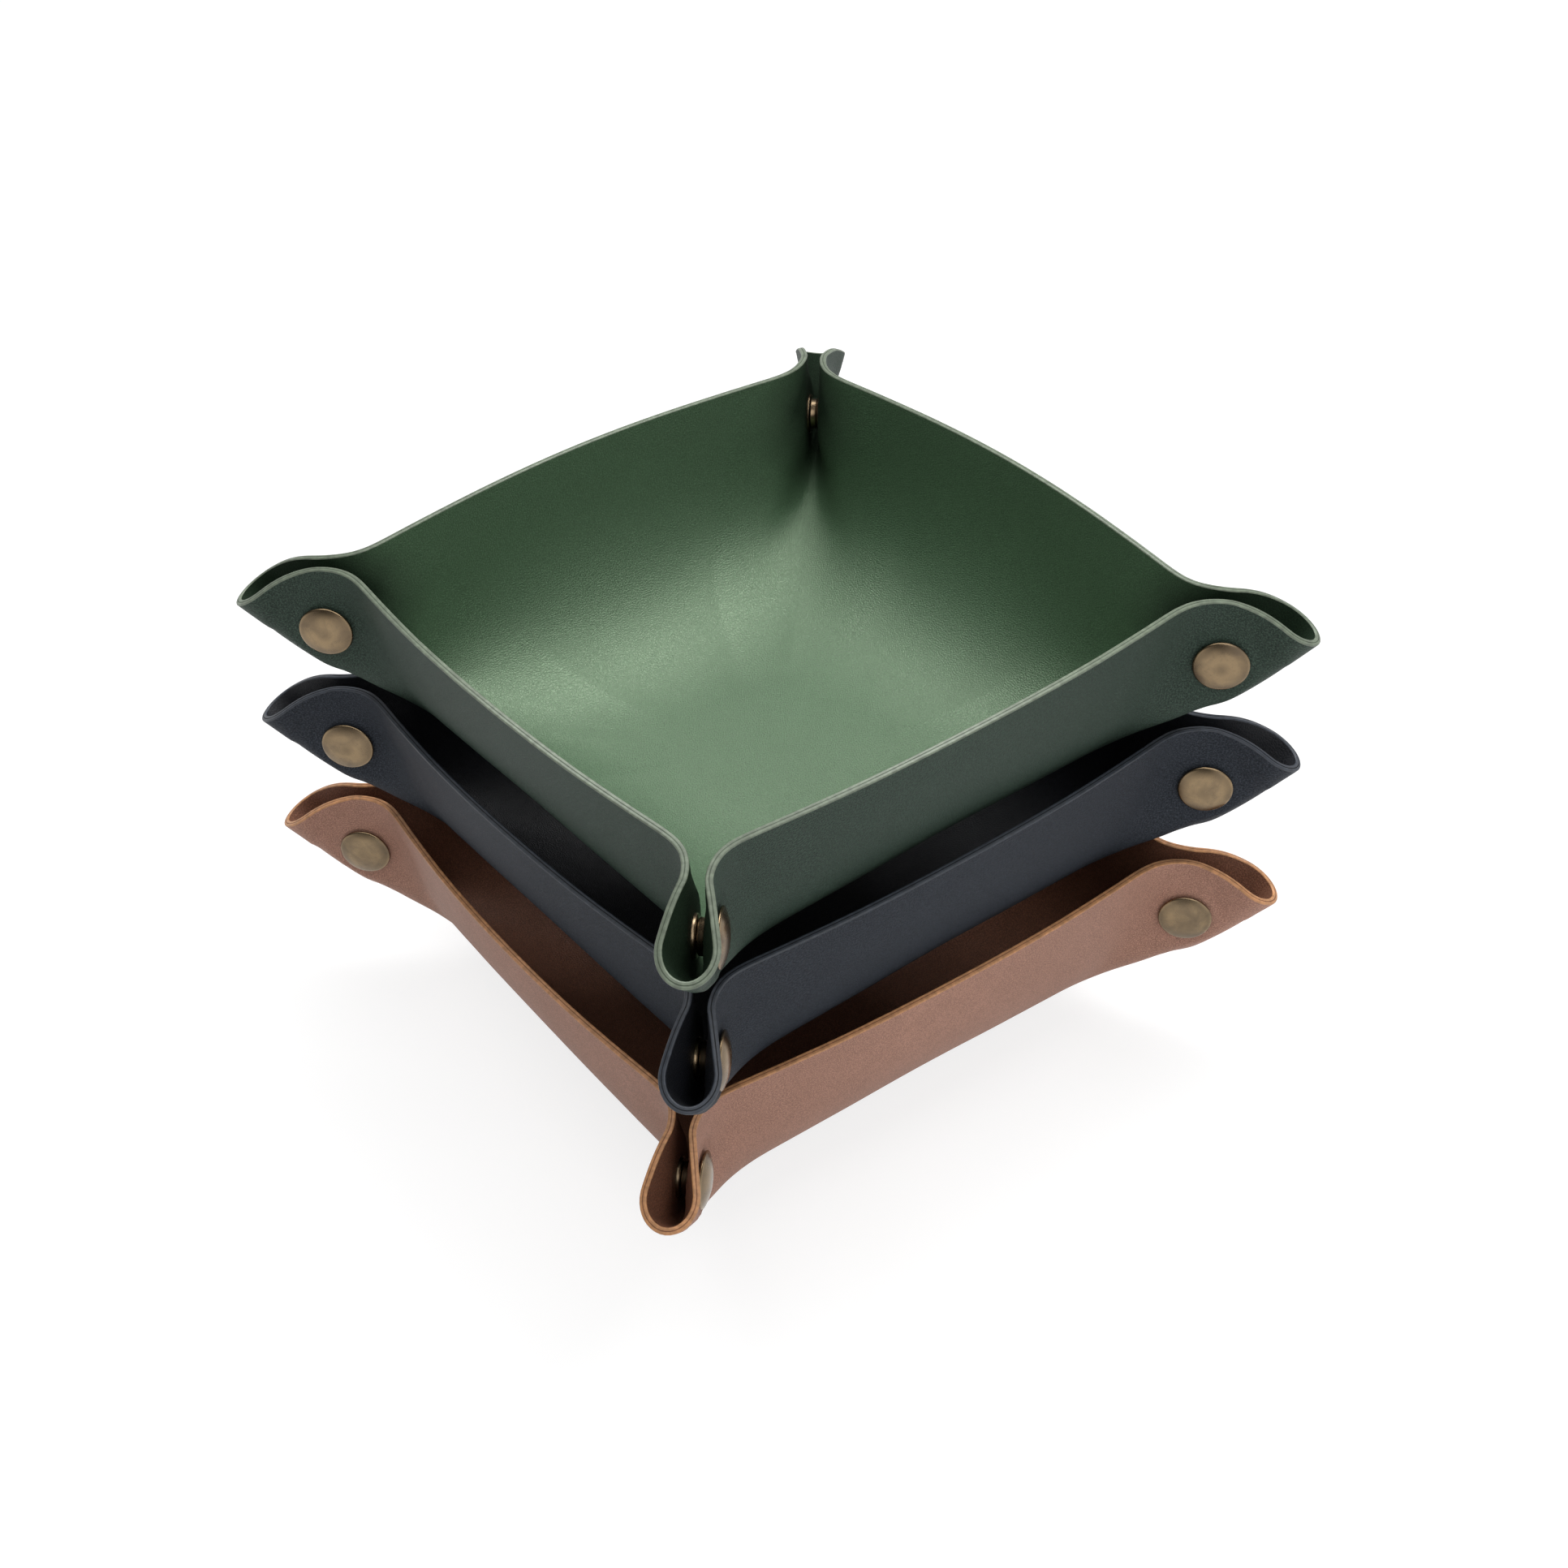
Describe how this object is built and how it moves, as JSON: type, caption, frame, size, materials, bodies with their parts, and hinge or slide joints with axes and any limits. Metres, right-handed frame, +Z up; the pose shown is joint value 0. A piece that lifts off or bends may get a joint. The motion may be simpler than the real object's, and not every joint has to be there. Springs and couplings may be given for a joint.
{
  "type": "stack of snap-corner leather desk trays",
  "caption": "Stack of square leather desk trays, each one sheet whose corners are pinched together by brass snaps.",
  "frame": {"origin": "centre of the flat underside of the lowest tray, on the table", "axes": "+Z up; +X and +Y square to two walls of the lowest tray, with its pinched corners on the diagonals; the upper trays are turned 2.2 and 2.7 degrees about +Z and sit 2.2 and 4.5 mm off the middle"},
  "size_m": [0.1842, 0.1826, 0.122],
  "materials": {
    "tan_leather": "satin two-layer leather",
    "black_leather": "satin two-layer leather",
    "green_leather": "satin two-layer leather",
    "antique_brass": "antique brass plate with mottled patina"
  },
  "bodies": {
    "tan_tray": {"tan_leather_sheet": "tan_leather", "tan_right_snap_stud": "antique_brass", "tan_right_snap_post": "antique_brass", "tan_back_snap_stud": "antique_brass", "tan_back_snap_post": "antique_brass", "tan_left_snap_stud": "antique_brass", "tan_left_snap_post": "antique_brass", "tan_front_snap_stud": "antique_brass", "tan_front_snap_post": "antique_brass"},
    "tan_right_snap_top": {"tan_right_snap_cap": "antique_brass", "tan_right_snap_socket": "antique_brass"},
    "tan_back_snap_top": {"tan_back_snap_cap": "antique_brass", "tan_back_snap_socket": "antique_brass"},
    "tan_left_snap_top": {"tan_left_snap_cap": "antique_brass", "tan_left_snap_socket": "antique_brass"},
    "tan_front_snap_top": {"tan_front_snap_cap": "antique_brass", "tan_front_snap_socket": "antique_brass"},
    "black_tray": {"black_leather_sheet": "black_leather", "black_right_snap_stud": "antique_brass", "black_right_snap_post": "antique_brass", "black_back_snap_stud": "antique_brass", "black_back_snap_post": "antique_brass", "black_left_snap_stud": "antique_brass", "black_left_snap_post": "antique_brass", "black_front_snap_stud": "antique_brass", "black_front_snap_post": "antique_brass"},
    "black_right_snap_top": {"black_right_snap_cap": "antique_brass", "black_right_snap_socket": "antique_brass"},
    "black_back_snap_top": {"black_back_snap_cap": "antique_brass", "black_back_snap_socket": "antique_brass"},
    "black_left_snap_top": {"black_left_snap_cap": "antique_brass", "black_left_snap_socket": "antique_brass"},
    "black_front_snap_top": {"black_front_snap_cap": "antique_brass", "black_front_snap_socket": "antique_brass"},
    "green_tray": {"green_leather_sheet": "green_leather", "green_right_snap_stud": "antique_brass", "green_right_snap_post": "antique_brass", "green_back_snap_stud": "antique_brass", "green_back_snap_post": "antique_brass", "green_left_snap_stud": "antique_brass", "green_left_snap_post": "antique_brass", "green_front_snap_stud": "antique_brass", "green_front_snap_post": "antique_brass"},
    "green_right_snap_top": {"green_right_snap_cap": "antique_brass", "green_right_snap_socket": "antique_brass"},
    "green_back_snap_top": {"green_back_snap_cap": "antique_brass", "green_back_snap_socket": "antique_brass"},
    "green_left_snap_top": {"green_left_snap_cap": "antique_brass", "green_left_snap_socket": "antique_brass"},
    "green_front_snap_top": {"green_front_snap_cap": "antique_brass", "green_front_snap_socket": "antique_brass"}
  },
  "joints": [
    {"name": "black_tray_lift", "type": "slide", "parent": "tan_tray", "child": "black_tray", "axis": [0, 0, 1], "range_m": [0, 0.07]},
    {"name": "green_tray_lift", "type": "slide", "parent": "black_tray", "child": "green_tray", "axis": [0, 0, 1], "range_m": [0, 0.07]},
    {"name": "tan_right_snap_open", "type": "slide", "parent": "tan_tray", "child": "tan_right_snap_top", "axis": [0.7071, -0.7071, 0], "range_m": [0, 0.008], "deforming": ["tan_leather_sheet"]},
    {"name": "tan_back_snap_open", "type": "slide", "parent": "tan_tray", "child": "tan_back_snap_top", "axis": [-0.7071, -0.7071, 0], "range_m": [0, 0.008], "deforming": ["tan_leather_sheet"]},
    {"name": "tan_left_snap_open", "type": "slide", "parent": "tan_tray", "child": "tan_left_snap_top", "axis": [0.7071, -0.7071, 0], "range_m": [0, 0.008], "deforming": ["tan_leather_sheet"]},
    {"name": "tan_front_snap_open", "type": "slide", "parent": "tan_tray", "child": "tan_front_snap_top", "axis": [0.7071, 0.7071, 0], "range_m": [0, 0.008], "deforming": ["tan_leather_sheet"]},
    {"name": "black_right_snap_open", "type": "slide", "parent": "black_tray", "child": "black_right_snap_top", "axis": [0.7337, -0.6794, 0], "range_m": [0, 0.008], "deforming": ["black_leather_sheet"]},
    {"name": "black_back_snap_open", "type": "slide", "parent": "black_tray", "child": "black_back_snap_top", "axis": [-0.6794, -0.7337, 0], "range_m": [0, 0.008], "deforming": ["black_leather_sheet"]},
    {"name": "black_left_snap_open", "type": "slide", "parent": "black_tray", "child": "black_left_snap_top", "axis": [0.7337, -0.6794, 0], "range_m": [0, 0.008], "deforming": ["black_leather_sheet"]},
    {"name": "black_front_snap_open", "type": "slide", "parent": "black_tray", "child": "black_front_snap_top", "axis": [0.6794, 0.7337, 0], "range_m": [0, 0.008], "deforming": ["black_leather_sheet"]},
    {"name": "green_right_snap_open", "type": "slide", "parent": "green_tray", "child": "green_right_snap_top", "axis": [0.7396, -0.673, 0], "range_m": [0, 0.008], "deforming": ["green_leather_sheet"]},
    {"name": "green_back_snap_open", "type": "slide", "parent": "green_tray", "child": "green_back_snap_top", "axis": [-0.673, -0.7396, 0], "range_m": [0, 0.008], "deforming": ["green_leather_sheet"]},
    {"name": "green_left_snap_open", "type": "slide", "parent": "green_tray", "child": "green_left_snap_top", "axis": [0.7396, -0.673, 0], "range_m": [0, 0.008], "deforming": ["green_leather_sheet"]},
    {"name": "green_front_snap_open", "type": "slide", "parent": "green_tray", "child": "green_front_snap_top", "axis": [0.673, 0.7396, 0], "range_m": [0, 0.008], "deforming": ["green_leather_sheet"]}
  ]
}
